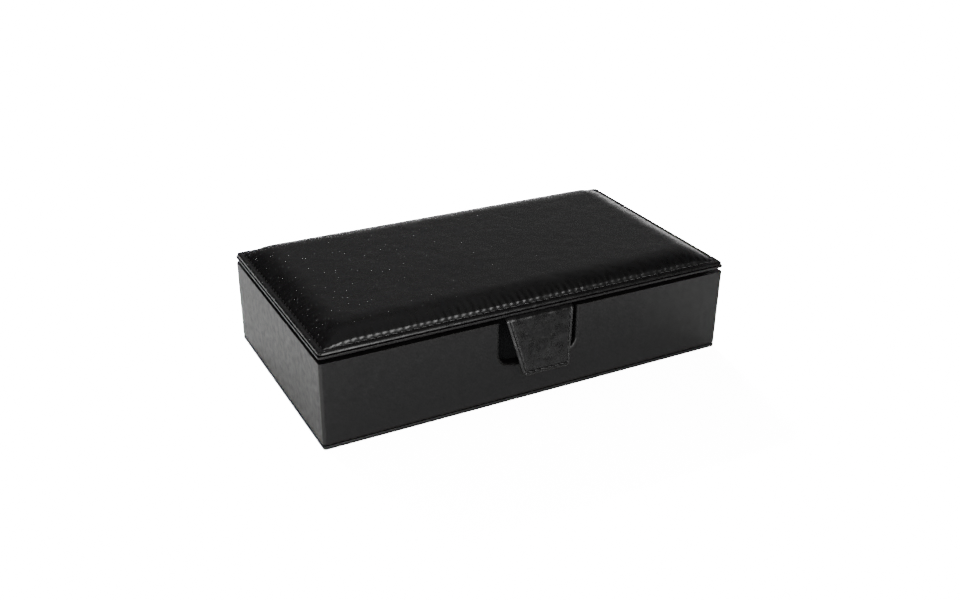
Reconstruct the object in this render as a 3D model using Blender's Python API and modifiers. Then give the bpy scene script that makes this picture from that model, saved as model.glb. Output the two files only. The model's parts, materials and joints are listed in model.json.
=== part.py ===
"""Leather-covered poker chip case with a padded, hinged lid and a stiff pull tab.

Units are metres. +Z is up, the front of the case faces -Y and +X is to the right as seen from
the front. The origin is the centre of the case's underside, on the surface that it rests on.
"""

import math

import bmesh
import bpy
from mathutils import Matrix, Vector

MM = 0.001

# ---------------------------------------------------------------- driving dimensions
CASE_WIDTH = 300 * MM
CASE_DEPTH = 166 * MM
CORNER_RADIUS = 2.0 * MM
FIT = 0.3 * MM                  # gap left between pieces that touch on the real case

BASE_HEIGHT = 3.0 * MM          # leather-covered base board
BASE_SEAM = 0.6 * MM            # open seam between the base and the walls
WALL_TOP = 60.0 * MM
WALL_BOARD = 6.0 * MM
LEATHER = 0.8 * MM              # leather on the walls
THIN_LEATHER = 0.6 * MM         # leather pared thin round the base and lid boards
LINING_BOARD = 1.5 * MM
FLOOR_LINING = 1.0 * MM

LID_GAP = 3.0 * MM              # shadow gap between the walls and the lid
LID_BOARD_HEIGHT = 2.1 * MM     # leather-covered lid board
LID_SEAM = 0.3 * MM             # seam between the lid board and the padded panel
LID_FLANGE = 15 * MM            # leather turned in under the lid board
LID_LINING = 0.7 * MM
LINING_CLEARANCE = 0.4 * MM     # the lid just clears the linings that carry it
PANEL_INSET = 0.5 * MM          # the padded panel is a little smaller than the lid board
PANEL_EDGE = 1.8 * MM           # height of the padded panel's edge
PANEL_BOARD = 0.8 * MM
PANEL_LEATHER = 0.7 * MM
CROWN = 7.5 * MM                # rise of the padding above the panel's edge
CROWN_MARGIN = 4.6 * MM         # lid's edge to the padding, where the stitching runs
CROWN_SHOULDER = 21.5 * MM        # distance over which the padding rises to its full height
FOAM_INSET = 8.5 * MM
FOAM_CLEARANCE = 1.0 * MM       # the foam stays clear of the leather's steep shoulder

NOTCH_WIDTH = 57.5 * MM         # finger notch in the front wall
NOTCH_BOTTOM = 28 * MM
NOTCH_RADIUS = 9 * MM

TAB_TOP_WIDTH = 50.8 * MM
TAB_BOTTOM_WIDTH = 34.5 * MM
TAB_LENGTH = 40 * MM            # from the fold down to the tab's lower edge
TAB_START = 1.0 * MM            # the plates begin this far below the fold
TAB_THICKNESS = 3.4 * MM
TAB_LEATHER = 0.9 * MM
TAB_CORNER = 3.0 * MM
TAB_INNER_CORNER = 0.5 * MM     # least corner radius of the pieces set into the tab
STIFFENER_INSET = 2.0 * MM
STRAP_THICKNESS = 1.4 * MM      # the tab's strap, glued under the lid
STRAP_SETBACK = 1.2 * MM        # from the wall's front to where the strap's fold begins
TAB_LEAN = math.radians(16.5)   # the tab springs away from the wall by this angle

CHANNEL_RADIUS = 20.5 * MM      # half-round channel for 40 mm chips
CHANNEL_PITCH = 43.5 * MM
CHANNEL_FLOOR = 2.2 * MM        # material left under a channel
RACK_WIDTH = 90 * MM
RACK_END_WALL = 2.5 * MM
CARD_WELL = (92 * MM, 67 * MM)
CARD_WELL_FLOOR = 2.7 * MM
CARD_WELL_RADIUS = 3 * MM
SCOOP_RADIUS = 13 * MM

HINGE_OFFSET = 95 * MM          # each hinge's distance from the middle of the case
HINGE_LENGTH = 26 * MM
LEAF_DEPTH = 6.8 * MM
LEAF_THICKNESS = 1.0 * MM
LEAF_LIFT = 0.3 * MM            # leaf to leather
KNUCKLE_RADIUS = 1.4 * MM
KNUCKLE_GAP = 0.3 * MM
KNUCKLE_ROOT = 0.5 * MM         # overlap of a knuckle's web with its leaf
LID_KNUCKLE = 9.0 * MM          # length of the middle knuckle, on the lid's leaf
PIN_RADIUS = 0.70 * MM
BORE_RADIUS = 0.76 * MM
PIN_OVERHANG = 0.4 * MM
PIN_BEHIND_WALL = 1.7 * MM
SCREW_SPACING = 16 * MM
SCREW_HEAD_RADIUS = 1.6 * MM
SCREW_SHANK_RADIUS = 0.8 * MM
BODY_SCREW_LENGTH = 9.0 * MM
LID_SCREW_LENGTH = 3.9 * MM
SCREW_TIP = 1.2 * MM
SCREW_HOLE_SPARE = 1.0 * MM     # a screw's hole is this much longer than the screw
COUNTERSINK_OVERRUN = 0.4 * MM
ROUND_STEPS = 16

# ---------------------------------------------------------------- levels and planes that follow
HALF_WIDTH = CASE_WIDTH / 2
HALF_DEPTH = CASE_DEPTH / 2
BOARD_OUTSIDE = LEATHER + FIT                       # wall surface to wall board
BOARD_INSIDE = BOARD_OUTSIDE + WALL_BOARD
LINING_OUTSIDE = BOARD_INSIDE + FIT
LINING_INSIDE = LINING_OUTSIDE + LINING_BOARD
ROOM_WIDTH = CASE_WIDTH - 2 * (LINING_INSIDE + FIT)  # room for the racks and the tray
ROOM_DEPTH = CASE_DEPTH - 2 * (LINING_INSIDE + FIT)
WALL_BOTTOM = BASE_HEIGHT + BASE_SEAM
BOARD_BOTTOM = BASE_HEIGHT + FIT
BOARD_TOP = WALL_TOP - LEATHER - FIT
LID_BOTTOM = WALL_TOP + LID_GAP
LID_BOARD_TOP = LID_BOTTOM + LID_BOARD_HEIGHT
LINING_TOP = LID_BOTTOM - LINING_CLEARANCE
FLOOR_TOP = BOARD_BOTTOM + FLOOR_LINING
RACK_BOTTOM = FLOOR_TOP + FIT
RACK_TOP = RACK_BOTTOM + CHANNEL_FLOOR + CHANNEL_RADIUS
PANEL_BOTTOM = LID_BOARD_TOP + LID_SEAM
PANEL_TOP = PANEL_BOTTOM + PANEL_EDGE
HINGE_AXIS = Vector((0, HALF_DEPTH + PIN_BEHIND_WALL, WALL_TOP + LID_GAP / 2))
TAB_AXIS = Vector((0, -HALF_DEPTH - FIT, WALL_TOP + LID_GAP / 2))
CARD_TRAY_WIDTH = ROOM_WIDTH - 2 * (RACK_WIDTH + FIT)
OVERRUN = 5 * MM                                    # how far a cutter runs past a face
SAME_PLACE = 0.1 * MM                               # points closer than this are level


# ---------------------------------------------------------------- scene, collections, materials
def clear_scene():
    for old in list(bpy.data.objects):
        bpy.data.objects.remove(old, do_unlink=True)


def new_collection(name):
    collection = bpy.data.collections.new(name)
    bpy.context.scene.collection.children.link(collection)
    return collection


def material(name, colour, roughness, metallic=0.0):
    made = bpy.data.materials.new(name)
    made.use_nodes = True
    shader = made.node_tree.nodes["Principled BSDF"]
    shader.inputs["Base Color"].default_value = (*colour, 1.0)
    shader.inputs["Roughness"].default_value = roughness
    shader.inputs["Metallic"].default_value = metallic
    made.diffuse_color = (*colour, 1.0)
    return made


clear_scene()
PARTS = new_collection("poker_chip_case")
CUTTERS = new_collection("cutters")

BLACK_LEATHER = material("black_leather", (0.012, 0.012, 0.013), 0.38)
BLACK_SUEDE = material("black_suede", (0.018, 0.018, 0.020), 0.95)
FIBREBOARD = material("fibreboard", (0.36, 0.27, 0.18), 0.85)
FOAM = material("foam", (0.70, 0.68, 0.62), 0.95)
BRASS = material("brass", (0.72, 0.52, 0.22), 0.30, metallic=1.0)
STEEL = material("steel", (0.55, 0.54, 0.52), 0.32, metallic=1.0)


# ---------------------------------------------------------------- modelling helpers
def mesh_object(name, mesh_data, look, location=(0, 0, 0)):
    """Turn a bmesh into a named object: a sub-part with a material, or a cutter without one."""
    mesh = bpy.data.meshes.new(name)
    bmesh.ops.recalc_face_normals(mesh_data, faces=mesh_data.faces[:])
    mesh_data.to_mesh(mesh)
    mesh_data.free()
    made = bpy.data.objects.new(name, mesh)
    made.location = location
    if look is None:
        CUTTERS.objects.link(made)
        made.hide_render = True
        made.display_type = "WIRE"
    else:
        PARTS.objects.link(made)
        mesh.materials.append(look)
    return made


def slab(name, low, high, look=None, radius=0.0, rounded_along="Z", keep=None, segments=4):
    """A box between two corners. Its edges along one axis can be rounded.

    keep is a test on an edge's middle point that picks which of those edges are rounded.
    """
    low, high = Vector(low), Vector(high)
    size = high - low
    box = bmesh.new()
    bmesh.ops.create_cube(box, size=1.0)
    bmesh.ops.scale(box, vec=size, verts=box.verts[:])
    if radius > 0:
        axis = "XYZ".index(rounded_along)
        rounded = []
        for edge in box.edges:
            along = edge.verts[0].co - edge.verts[1].co
            middle = (edge.verts[0].co + edge.verts[1].co) / 2
            if abs(along[axis]) > size[axis] / 2 and (keep is None or keep(middle)):
                rounded.append(edge)
        bmesh.ops.bevel(box, geom=rounded, offset=radius, segments=segments,
                        profile=0.5, affect="EDGES")
    return mesh_object(name, box, look, (low + high) / 2)


def inset_slab(name, inset, bottom, top, look=None, radius=0.0):
    """A slab with the case's footprint, drawn in by inset on all four sides."""
    low = (-HALF_WIDTH + inset, -HALF_DEPTH + inset, bottom)
    high = (HALF_WIDTH - inset, HALF_DEPTH - inset, top)
    return slab(name, low, high, look, radius)


def cylinder(name, radius, length, centre, axis="X", look=None, end_radius=None):
    """A cylinder, or a cone when end_radius is given, along one axis."""
    rod = bmesh.new()
    tip = radius if end_radius is None else end_radius
    bmesh.ops.create_cone(rod, cap_ends=True, segments=ROUND_STEPS,
                          radius1=radius, radius2=tip, depth=length)
    turn = {"X": Matrix.Rotation(math.pi / 2, 3, "Y"),
            "Y": Matrix.Rotation(-math.pi / 2, 3, "X"),
            "Z": Matrix.Identity(3)}[axis]
    bmesh.ops.rotate(rod, cent=(0, 0, 0), matrix=turn, verts=rod.verts[:])
    return mesh_object(name, rod, look, centre)


def boolean(target, tool, operation):
    step = target.modifiers.new(operation.lower() + "_" + tool.name, "BOOLEAN")
    step.operation = operation
    step.solver = "EXACT"
    step.object = tool


def cut(target, tool):
    boolean(target, tool, "DIFFERENCE")


def join(target, tool):
    boolean(target, tool, "UNION")


def turned(name, profile, look, location, upside_down=False):
    """A turned piece from a profile of (radius, height) points, from its top down."""
    outline = bmesh.new()
    points = [outline.verts.new((radius, 0, height)) for radius, height in profile]
    for upper, lower in zip(points, points[1:]):
        outline.edges.new((upper, lower))
    mesh = bpy.data.meshes.new(name)
    outline.to_mesh(mesh)
    outline.free()
    made = bpy.data.objects.new(name, mesh)
    PARTS.objects.link(made)
    mesh.materials.append(look)
    made.location = location
    if upside_down:
        made.rotation_euler.x = math.pi
    spin = made.modifiers.new("turn", "SCREW")
    spin.axis = "Z"
    spin.steps = ROUND_STEPS
    spin.render_steps = ROUND_STEPS
    spin.use_merge_vertices = True
    spin.merge_threshold = 0.00001
    spin.use_smooth_shade = True
    return made


def pivot(name, location, parent=None, lean=0.0):
    """An empty on a joint's axis. What hangs on it turns about its X axis."""
    empty = bpy.data.objects.new(name, None)
    empty.empty_display_size = 10 * MM
    PARTS.objects.link(empty)
    empty.location = location if parent is None else Vector(location) - parent.location
    empty.rotation_euler.x = lean
    empty.parent = parent
    return empty


def hang_on(empty, *pieces):
    """Parent pieces to an empty that isn't turned, and leave them where they are."""
    for piece in pieces:
        piece.location = piece.location - empty.location
        piece.parent = empty


# ---------------------------------------------------------------- padded crown
def crown_rise(x, y, margin):
    """Height of the padding above the panel's edge: a rounded shoulder, then a flat top."""
    def shoulder(reach):
        along = min(max((reach - margin) / CROWN_SHOULDER, 0.0), 1.0)
        return math.sqrt(1.0 - (1.0 - along) ** 2)
    return CROWN * shoulder(HALF_WIDTH - abs(x)) * shoulder(HALF_DEPTH - abs(y))


def crown_slab(name, inset, bottom, edge_top, margin, look=None, columns=30, rows=22):
    """A slab whose top follows the padding. Its grid is closest near the edges."""
    half_x = HALF_WIDTH - inset
    half_y = HALF_DEPTH - inset

    def spread(position):
        return math.copysign(math.sin(abs(position) * math.pi / 2), position)

    pad = bmesh.new()
    bmesh.ops.create_grid(pad, x_segments=columns, y_segments=rows, size=1.0)
    top = pad.faces[:]
    for point in pad.verts:
        point.co.x = half_x * spread(point.co.x)
        point.co.y = half_y * spread(point.co.y)
        point.co.z = edge_top + crown_rise(point.co.x, point.co.y, margin)
    skirt = bmesh.ops.extrude_face_region(pad, geom=top, use_keep_orig=True)
    for item in skirt["geom"]:
        if isinstance(item, bmesh.types.BMVert):
            item.co.z = bottom
    return mesh_object(name, pad, look)


# ---------------------------------------------------------------- base
def make_base():
    leather = inset_slab("base_leather", 0, 0, BASE_HEIGHT, BLACK_LEATHER, CORNER_RADIUS)
    cut(leather, inset_slab("base_pocket", THIN_LEATHER, THIN_LEATHER, BASE_HEIGHT + OVERRUN))
    inset_slab("base_board", THIN_LEATHER + FIT, THIN_LEATHER + FIT, BASE_HEIGHT, FIBREBOARD)


# ---------------------------------------------------------------- finger notch
def notch_shape(name, growth, front, back, look=None, top=WALL_TOP + OVERRUN):
    """The notch as a solid: straight sides, rounded lower corners, grown outward by growth."""
    low = (-NOTCH_WIDTH / 2 - growth, front, NOTCH_BOTTOM - growth)
    high = (NOTCH_WIDTH / 2 + growth, back, top)
    return slab(name, low, high, look, NOTCH_RADIUS + growth, rounded_along="Y",
                keep=lambda middle: middle.z < 0, segments=5)


def make_notch_binding():
    """A leather strip round the notch's sides and bottom, as deep as the wall."""
    front = -HALF_DEPTH
    back = -HALF_DEPTH + BOARD_INSIDE
    binding = notch_shape("notch_binding", LEATHER, front, back, BLACK_LEATHER, WALL_TOP)
    cut(binding, notch_shape("notch_binding_inside", 0, front - OVERRUN, back + OVERRUN))


# ---------------------------------------------------------------- walls
def make_walls():
    """Four boards, the leather pulled round them and turned over their tops, and the linings."""
    out_x = HALF_WIDTH - BOARD_OUTSIDE
    out_y = HALF_DEPTH - BOARD_OUTSIDE
    in_x = HALF_WIDTH - BOARD_INSIDE
    in_y = HALF_DEPTH - BOARD_INSIDE
    side_y = in_y - FIT
    front = slab("front_wall_board", (-out_x, -out_y, BOARD_BOTTOM), (out_x, -in_y, BOARD_TOP),
                 FIBREBOARD)
    back = slab("back_wall_board", (-out_x, in_y, BOARD_BOTTOM), (out_x, out_y, BOARD_TOP),
                FIBREBOARD)
    slab("left_wall_board", (-out_x, -side_y, BOARD_BOTTOM), (-in_x, side_y, BOARD_TOP),
         FIBREBOARD)
    slab("right_wall_board", (in_x, -side_y, BOARD_BOTTOM), (out_x, side_y, BOARD_TOP),
         FIBREBOARD)

    leather = inset_slab("body_leather", 0, WALL_BOTTOM, WALL_TOP, BLACK_LEATHER, CORNER_RADIUS)
    cut(leather, inset_slab("body_hollow", LEATHER, -OVERRUN, WALL_TOP - LEATHER))
    cut(leather, inset_slab("body_mouth", BOARD_INSIDE, WALL_TOP - OVERRUN, WALL_TOP + OVERRUN))

    opening = notch_shape("notch_opening", LEATHER + FIT, -HALF_DEPTH - OVERRUN,
                          -HALF_DEPTH + BOARD_INSIDE + FIT / 2)
    cut(front, opening)
    cut(leather, opening)
    make_notch_binding()
    return back, leather


def make_linings():
    """Thin suede-covered boards inside the walls. They stand proud, and the lid rests on them."""
    out_x = HALF_WIDTH - LINING_OUTSIDE
    out_y = HALF_DEPTH - LINING_OUTSIDE
    in_x = HALF_WIDTH - LINING_INSIDE
    in_y = HALF_DEPTH - LINING_INSIDE
    side_y = in_y - FIT
    slab("front_lining", (-out_x, -out_y, BOARD_BOTTOM), (out_x, -in_y, LINING_TOP), BLACK_SUEDE)
    slab("back_lining", (-out_x, in_y, BOARD_BOTTOM), (out_x, out_y, LINING_TOP), BLACK_SUEDE)
    slab("left_lining", (-out_x, -side_y, BOARD_BOTTOM), (-in_x, side_y, LINING_TOP), BLACK_SUEDE)
    slab("right_lining", (in_x, -side_y, BOARD_BOTTOM), (out_x, side_y, LINING_TOP), BLACK_SUEDE)
    inset_slab("floor_lining", LINING_INSIDE + FIT, BOARD_BOTTOM, FLOOR_TOP, BLACK_SUEDE)


# ---------------------------------------------------------------- chip racks and card tray
def make_chip_rack(side, sign):
    """A block with two half-round channels that run from front to back."""
    middle = sign * (ROOM_WIDTH - RACK_WIDTH) / 2
    half_y = ROOM_DEPTH / 2
    rack = slab(side + "_chip_rack", (middle - RACK_WIDTH / 2, -half_y, RACK_BOTTOM),
                (middle + RACK_WIDTH / 2, half_y, RACK_TOP), BLACK_SUEDE)
    length = ROOM_DEPTH - 2 * RACK_END_WALL
    for place, shift in (("outer", sign), ("inner", -sign)):
        centre = (middle + shift * CHANNEL_PITCH / 2, 0, RACK_TOP)
        channel = bmesh.new()
        bmesh.ops.create_cone(channel, cap_ends=True, segments=2 * ROUND_STEPS,
                              radius1=CHANNEL_RADIUS, radius2=CHANNEL_RADIUS, depth=length)
        bmesh.ops.rotate(channel, cent=(0, 0, 0), matrix=Matrix.Rotation(math.pi / 2, 3, "X"),
                         verts=channel.verts[:])
        cut(rack, mesh_object(side + "_" + place + "_channel", channel, None, centre))


def make_card_tray():
    """Two wells for card decks, with a scoop through the bar between them for a finger."""
    half_x = CARD_TRAY_WIDTH / 2 - FIT
    half_y = ROOM_DEPTH / 2
    tray = slab("card_tray", (-half_x, -half_y, RACK_BOTTOM), (half_x, half_y, RACK_TOP),
                BLACK_SUEDE)
    bar = ROOM_DEPTH / 3 - CARD_WELL[1] * 2 / 3
    centre_y = bar / 2 + CARD_WELL[1] / 2
    for place, sign in (("front", -1), ("back", 1)):
        low = (-CARD_WELL[0] / 2, sign * centre_y - CARD_WELL[1] / 2,
               RACK_BOTTOM + CARD_WELL_FLOOR)
        high = (CARD_WELL[0] / 2, sign * centre_y + CARD_WELL[1] / 2, RACK_TOP + OVERRUN)
        cut(tray, slab(place + "_card_well", low, high, None, CARD_WELL_RADIUS))
    cut(tray, cylinder("finger_scoop", SCOOP_RADIUS, 2 * bar, (0, 0, RACK_TOP), axis="Y"))


# ---------------------------------------------------------------- lid
def make_lid(lid_pivot):
    """A leather-covered board with a padded, stitched panel on top and a lining beneath."""
    leather = inset_slab("lid_board_leather", 0, LID_BOTTOM, LID_BOARD_TOP, BLACK_LEATHER,
                         CORNER_RADIUS)
    cut(leather, inset_slab("lid_board_pocket", THIN_LEATHER, LID_BOTTOM + THIN_LEATHER,
                            LID_BOARD_TOP + OVERRUN))
    cut(leather, inset_slab("lid_flange_opening", LID_FLANGE, LID_BOTTOM - OVERRUN,
                            LID_BOARD_TOP + OVERRUN))
    board_bottom = LID_BOTTOM + THIN_LEATHER + FIT
    board = inset_slab("lid_board", THIN_LEATHER + FIT, board_bottom, LID_BOARD_TOP, FIBREBOARD)
    lining = inset_slab("lid_lining", LID_FLANGE + FIT, board_bottom - FIT - LID_LINING,
                        board_bottom - FIT, BLACK_SUEDE)

    cover = crown_slab("panel_leather", PANEL_INSET, PANEL_BOTTOM, PANEL_TOP, CROWN_MARGIN,
                       BLACK_LEATHER)
    boolean(cover, inset_slab("panel_footprint", PANEL_INSET, PANEL_BOTTOM - OVERRUN,
                              PANEL_TOP + CROWN + OVERRUN, None, CORNER_RADIUS), "INTERSECT")
    cut(cover, crown_slab("panel_hollow", PANEL_INSET + PANEL_LEATHER, PANEL_BOTTOM - OVERRUN,
                          PANEL_TOP - PANEL_LEATHER, CROWN_MARGIN + PANEL_LEATHER))
    panel_board = inset_slab("panel_board", PANEL_INSET + PANEL_LEATHER + FIT, PANEL_BOTTOM,
                             PANEL_BOTTOM + PANEL_BOARD, FIBREBOARD)
    foam = crown_slab("panel_foam", FOAM_INSET, PANEL_BOTTOM + PANEL_BOARD + FIT,
                      PANEL_TOP - PANEL_LEATHER - FOAM_CLEARANCE,
                      CROWN_MARGIN + PANEL_LEATHER + FOAM_CLEARANCE, FOAM)

    strap_half = TAB_TOP_WIDTH / 2
    strap_top = LID_BOTTOM - FIT
    strap_end = slab("tab_strap_end",
                     (-strap_half, -HALF_DEPTH + STRAP_SETBACK, strap_top - STRAP_THICKNESS),
                     (strap_half, -HALF_DEPTH + BOARD_INSIDE - FIT, strap_top), BLACK_LEATHER)
    hang_on(lid_pivot, leather, board, lining, cover, panel_board, foam, strap_end)
    return leather, board, panel_board


# ---------------------------------------------------------------- pull tab
def tab_plate(name, inset, front, back, look=None, extra_top=0.0):
    """A tapered plate that hangs from the fold, drawn in by inset at its sides and bottom."""
    top = -TAB_START + extra_top
    bottom = -TAB_LENGTH + inset
    slope = (TAB_TOP_WIDTH - TAB_BOTTOM_WIDTH) / 2 / TAB_LENGTH
    plate = bmesh.new()
    bmesh.ops.create_cube(plate, size=1.0)
    for point in plate.verts:
        height = top if point.co.z > 0 else bottom
        half = TAB_TOP_WIDTH / 2 + slope * height - inset
        side = math.copysign(half, point.co.x)
        point.co = (side, front if point.co.y < 0 else back, height)
    lower = [edge for edge in plate.edges
             if all(abs(vert.co.z - bottom) < SAME_PLACE for vert in edge.verts)
             and abs(edge.verts[0].co.x - edge.verts[1].co.x) < SAME_PLACE]
    bmesh.ops.bevel(plate, geom=lower, offset=max(TAB_CORNER - inset, TAB_INNER_CORNER),
                    segments=4, profile=0.5, affect="EDGES")
    return mesh_object(name, plate, look)


def make_tab(tab_pivot):
    """Front leather turned round the edges, a stiffener inside and back leather set into it."""
    half = TAB_THICKNESS / 2
    edge = TAB_LEATHER + FIT
    front = tab_plate("tab_front_leather", 0, -half, half, BLACK_LEATHER)
    pocket = tab_plate("tab_pocket", TAB_LEATHER, -half + TAB_LEATHER, half + OVERRUN,
                       extra_top=OVERRUN)
    cut(front, pocket)
    back = tab_plate("tab_back_leather", edge, half - TAB_LEATHER, half, BLACK_LEATHER)
    stiffener = tab_plate("tab_stiffener", edge + STIFFENER_INSET, -half + edge, half - edge,
                          FIBREBOARD)
    for piece in (front, back, stiffener, pocket):
        piece.parent = tab_pivot


# ---------------------------------------------------------------- hinges
def hinge_leaf(name, side_x, up, knuckles):
    """One leaf of a butt hinge: a plate with countersunk holes and its knuckles.

    up is -1 for the leaf on the wall and +1 for the leaf under the lid.
    knuckles lists the start and the end of each knuckle along X from the hinge's middle.
    """
    axis_y, axis_z = HINGE_AXIS.y, HINGE_AXIS.z
    far = axis_z + up * (LID_GAP / 2 - LEAF_LIFT)
    near = far - up * LEAF_THICKNESS
    low_z, high_z = min(far, near), max(far, near)
    half = HINGE_LENGTH / 2
    leaf = slab(name, (side_x - half, HALF_DEPTH - LEAF_DEPTH, low_z),
                (side_x + half, HALF_DEPTH, high_z), BRASS)
    for number, (start, end) in enumerate(knuckles, 1):
        length = end - start
        middle = side_x + (start + end) / 2
        label = "%s_knuckle_%d" % (name, number)
        join(leaf, cylinder(label, KNUCKLE_RADIUS, length, (middle, axis_y, axis_z)))
        join(leaf, slab(label + "_root", (middle - length / 2, HALF_DEPTH - KNUCKLE_ROOT, low_z),
                        (middle + length / 2, axis_y, high_z)))
    cut(leaf, cylinder(name + "_bore", BORE_RADIUS, 2 * HINGE_LENGTH, (side_x, axis_y, axis_z)))
    slope = (SCREW_HEAD_RADIUS - SCREW_SHANK_RADIUS) / LEAF_THICKNESS
    wide = SCREW_HEAD_RADIUS + FIT + slope * COUNTERSINK_OVERRUN
    narrow = SCREW_SHANK_RADIUS + FIT - slope * COUNTERSINK_OVERRUN
    lower, upper = (narrow, wide) if up < 0 else (wide, narrow)
    for number, place in enumerate((-1, 1), 1):
        centre = (side_x + place * SCREW_SPACING / 2, screw_y(), (low_z + high_z) / 2)
        cut(leaf, cylinder("%s_countersink_%d" % (name, number), lower,
                           LEAF_THICKNESS + 2 * COUNTERSINK_OVERRUN, centre, axis="Z",
                           end_radius=upper))
    return leaf


def screw_y():
    return HALF_DEPTH - LEAF_DEPTH / 2


def make_screw(name, x, up, length):
    """A countersunk screw whose head is flush with its leaf."""
    flush = HINGE_AXIS.z + up * (LID_GAP / 2 - LEAF_LIFT - LEAF_THICKNESS)
    profile = [(0, 0), (SCREW_HEAD_RADIUS, 0), (SCREW_SHANK_RADIUS, -LEAF_THICKNESS),
               (SCREW_SHANK_RADIUS, -length + SCREW_TIP), (0, -length)]
    return turned(name, profile, STEEL, (x, screw_y(), flush), upside_down=up > 0)


def make_hinge(side, sign, lid_pivot, wall_pieces, lid_pieces):
    side_x = sign * HINGE_OFFSET
    half = HINGE_LENGTH / 2
    inner = LID_KNUCKLE / 2 + KNUCKLE_GAP
    hinge_leaf(side + "_hinge_body_leaf", side_x, -1, [(-half, -inner), (inner, half)])
    lid_leaf = hinge_leaf(side + "_hinge_lid_leaf", side_x, 1,
                          [(-LID_KNUCKLE / 2, LID_KNUCKLE / 2)])
    cylinder(side + "_hinge_pin", PIN_RADIUS, HINGE_LENGTH + 2 * PIN_OVERHANG,
             (side_x, HINGE_AXIS.y, HINGE_AXIS.z), look=STEEL)
    hang_on(lid_pivot, lid_leaf)

    for number, place in enumerate((-1, 1), 1):
        x = side_x + place * SCREW_SPACING / 2
        make_screw("%s_hinge_body_screw_%d" % (side, number), x, -1, BODY_SCREW_LENGTH)
        hole_span = BODY_SCREW_LENGTH + SCREW_HOLE_SPARE
        hole = cylinder("%s_body_screw_hole_%d" % (side, number), SCREW_SHANK_RADIUS + FIT,
                        hole_span, (x, screw_y(), WALL_TOP + SCREW_HOLE_SPARE - hole_span / 2),
                        axis="Z")
        for piece in wall_pieces:
            cut(piece, hole)

        lid_screw = make_screw("%s_hinge_lid_screw_%d" % (side, number), x, 1, LID_SCREW_LENGTH)
        hang_on(lid_pivot, lid_screw)
        hole_middle = LID_BOTTOM + (LID_SCREW_LENGTH - SCREW_HOLE_SPARE) / 2
        hole = cylinder("%s_lid_screw_hole_%d" % (side, number), SCREW_SHANK_RADIUS + FIT,
                        LID_SCREW_LENGTH + SCREW_HOLE_SPARE, (x, screw_y(), hole_middle),
                        axis="Z")
        hang_on(lid_pivot, hole)
        for piece in lid_pieces:
            cut(piece, hole)


# ---------------------------------------------------------------- assembly
def build_case():
    make_base()
    back_board, body_leather = make_walls()
    make_linings()
    for side, sign in (("left", -1), ("right", 1)):
        make_chip_rack(side, sign)
    make_card_tray()

    lid_pivot = pivot("lid_pivot", HINGE_AXIS)
    lid_leather, lid_board, panel_board = make_lid(lid_pivot)
    make_tab(pivot("tab_pivot", TAB_AXIS, lid_pivot, lean=-TAB_LEAN))
    for side, sign in (("left", -1), ("right", 1)):
        make_hinge(side, sign, lid_pivot, (back_board, body_leather),
                   (lid_leather, lid_board, panel_board))

    for piece in PARTS.objects:
        if piece.type == "MESH":
            piece.data.shade_smooth()
            piece.data.set_sharp_from_angle(angle=math.radians(35))


build_case()
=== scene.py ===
"""Looks of the leather-covered poker chip case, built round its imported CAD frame. Metres, +Z up."""
import json
import math

import bmesh
import bpy
import numpy as np
from mathutils import Matrix, Vector, noise


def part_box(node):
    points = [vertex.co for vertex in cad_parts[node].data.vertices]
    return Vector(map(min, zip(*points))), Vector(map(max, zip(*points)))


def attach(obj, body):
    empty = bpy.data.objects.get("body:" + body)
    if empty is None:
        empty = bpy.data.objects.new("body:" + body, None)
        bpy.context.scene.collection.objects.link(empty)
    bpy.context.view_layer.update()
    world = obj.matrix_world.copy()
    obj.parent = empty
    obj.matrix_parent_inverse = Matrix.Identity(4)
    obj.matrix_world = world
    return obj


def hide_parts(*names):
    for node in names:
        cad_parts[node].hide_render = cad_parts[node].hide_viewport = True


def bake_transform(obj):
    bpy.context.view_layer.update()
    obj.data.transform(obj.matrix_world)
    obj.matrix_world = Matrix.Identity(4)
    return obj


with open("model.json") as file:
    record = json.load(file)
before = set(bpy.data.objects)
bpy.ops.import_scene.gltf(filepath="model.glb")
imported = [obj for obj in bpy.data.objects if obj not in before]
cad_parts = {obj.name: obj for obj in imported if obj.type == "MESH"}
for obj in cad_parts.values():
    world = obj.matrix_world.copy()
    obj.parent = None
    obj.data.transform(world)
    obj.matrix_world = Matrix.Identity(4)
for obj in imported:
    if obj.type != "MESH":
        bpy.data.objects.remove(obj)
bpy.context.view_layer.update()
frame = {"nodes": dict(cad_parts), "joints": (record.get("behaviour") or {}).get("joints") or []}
MM = 0.001

# ---------------------------------------------------------------- sizes from the frame
BASE_LOW, BASE_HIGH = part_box("base_leather")
WALL_LOW, WALL_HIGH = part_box("body_leather")
LID_LOW, LID_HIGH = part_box("lid_board_leather")
PANEL_LOW, PANEL_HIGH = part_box("panel_leather")
PANEL_BOARD_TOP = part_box("panel_board")[1].z
NOTCH_LOW, NOTCH_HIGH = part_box("notch_binding")
STRAP_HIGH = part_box("tab_strap_end")[1]
TAB_JOINT = next(joint for joint in frame["joints"] if joint["name"] == "tab_fold")

HALF_WIDTH = WALL_HIGH.x
HALF_DEPTH = WALL_HIGH.y
WALL_THICKNESS = NOTCH_HIGH.y - NOTCH_LOW.y
LEATHER = 0.8 * MM
NOTCH_HALF = NOTCH_HIGH.x - LEATHER
NOTCH_BOTTOM = NOTCH_LOW.z + LEATHER
NOTCH_RADIUS = 9 * MM
NOTCH_ROLL = 2.2 * MM                   # how far the leather's roll widens the notch at the front
CORNER_RADIUS = 2.2 * MM
RIM_ROLL = 1.1 * MM                     # rolls of the turned leather edges
BASE_ROLL = 0.5 * MM
LID_ROLL = 0.38 * MM
SEAM_DEPTH = 0.45 * MM                  # the lid and base boards stop this far below their seams

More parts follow.
